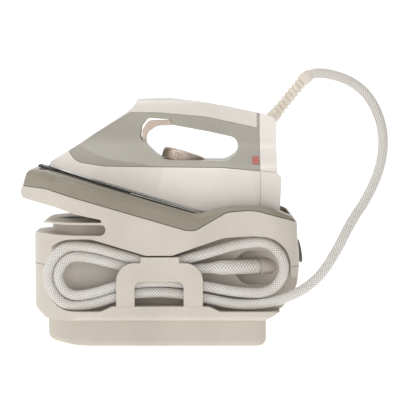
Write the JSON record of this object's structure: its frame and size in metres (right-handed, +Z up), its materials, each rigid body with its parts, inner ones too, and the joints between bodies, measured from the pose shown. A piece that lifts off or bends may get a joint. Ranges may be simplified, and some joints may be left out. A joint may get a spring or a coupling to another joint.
{
  "type": "steam generator iron",
  "caption": "Steam generator iron: a base with water tank and boiler, an iron resting on its sloping top and a braided steam hose stored in loops on the side.",
  "frame": {"origin": "centre of the base's footprint box, on the surface it stands on", "axes": "+X along the base from the front tongue to the rear controls, +Y to the side away from the stored hose, +Z up"},
  "size_m": [0.4558, 0.21, 0.3382],
  "materials": {
    "station_shell": "fine moulded texture, warm light grey",
    "cover_olive": "satin moulded plastic, olive grey",
    "plinth_plastic": "fine moulded texture",
    "iron_white": "polished white plastic",
    "handle_grey": "satin warm grey plastic",
    "cap_cream": "polished cream plastic",
    "dial_copper": "satin champagne",
    "sole_metal": "brushed along its length",
    "cast_block": "die cast",
    "steel": "drawn",
    "bright_strip": "polished",
    "brass": "turned",
    "dark_rubber": "moulded",
    "pale_rubber": "moulded, warm white",
    "hose_braid": "woven sleeve, cream with grey fleck",
    "knob_grey": "satin",
    "inner_plastic": "plain moulding",
    "black_plastic": "satin",
    "lamp_red": "translucent red",
    "tank_clear": "translucent moulding",
    "board_green": "lacquered"
  },
  "bodies": {
    "base": {"lower_housing": "station_shell", "upper_housing": "station_shell", "top_cover": "cover_olive", "plinth": "plinth_plastic", "rubber_feet": "dark_rubber", "plinth_screws": "steel", "hose_bracket": "station_shell", "steam_hose_stored": "hose_braid", "hose_port_collar": "pale_rubber", "hose_cuff": "pale_rubber", "rest_pads": "dark_rubber", "rest_strips": "bright_strip", "water_tank": "tank_clear", "filler_neck": "inner_plastic", "boiler": "steel", "boiler_element": "steel", "boiler_cradle": "steel", "boiler_cutout": "black_plastic", "safety_valve": "brass", "solenoid_valve": "black_plastic", "water_pump": "inner_plastic", "feed_tube": "pale_rubber", "pressure_tube": "pale_rubber", "valve_tube": "brass", "steam_line": "brass", "circuit_board": "board_green", "steam_regulator": "brass", "switch_frame": "black_plastic", "pilot_lights": "lamp_red", "mains_inlet_gland": "dark_rubber"},
    "iron": {"soleplate": "sole_metal", "heater_block": "cast_block", "heat_shield": "steel", "thermostat": "black_plastic", "iron_skirt": "iron_white", "handle_shell": "handle_grey", "handle_top_cover": "cap_cream", "heel_cover": "iron_white", "hose_boot": "pale_rubber", "iron_steam_tube": "brass", "trigger_switch": "black_plastic", "trigger_pin": "steel", "indicator_lens": "lamp_red", "steam_hose_free": "hose_braid"},
    "trigger": {"steam_trigger": "dial_copper"},
    "dial": {"thermostat_dial": "dial_copper", "dial_shaft": "steel"},
    "knob": {"control_knob": "knob_grey", "knob_shaft": "steel"},
    "rocker": {"power_rocker": "black_plastic"},
    "cap": {"filler_cap": "knob_grey"}
  },
  "joints": [
    {"name": "iron_lift", "type": "slide", "parent": "base", "child": "iron", "axis": [0, 0, 1], "range_m": [0, 0.06], "deforming": ["steam_hose_free"]},
    {"name": "trigger_hinge", "type": "hinge", "parent": "iron", "child": "trigger", "pos_m": [0.016, 0, 0.2736], "axis": [0, 1, 0], "range_deg": [0, 5], "stiffness_Nm_per_rad": 1, "springref_deg": -2.86},
    {"name": "dial_turn", "type": "hinge", "parent": "iron", "child": "dial", "pos_m": [0.02913, 0, 0.2343], "axis": [0.2756, 0, 0.9613], "range_deg": [0, 270]},
    {"name": "knob_turn", "type": "hinge", "parent": "base", "child": "knob", "pos_m": [0.16931, 0, 0.11], "axis": [0.9848, 0, 0.1736], "range_deg": [0, 270]},
    {"name": "rocker_tilt", "type": "hinge", "parent": "base", "child": "rocker", "pos_m": [0.16487, 0.044, 0.12575], "axis": [-0.124, 0, 0.9923], "range_deg": [0, 12]},
    {"name": "cap_turn", "type": "hinge", "parent": "base", "child": "cap", "pos_m": [-0.11, 0, 0.15], "axis": [0, 0, 1], "range_deg": [0, 90]}
  ]
}
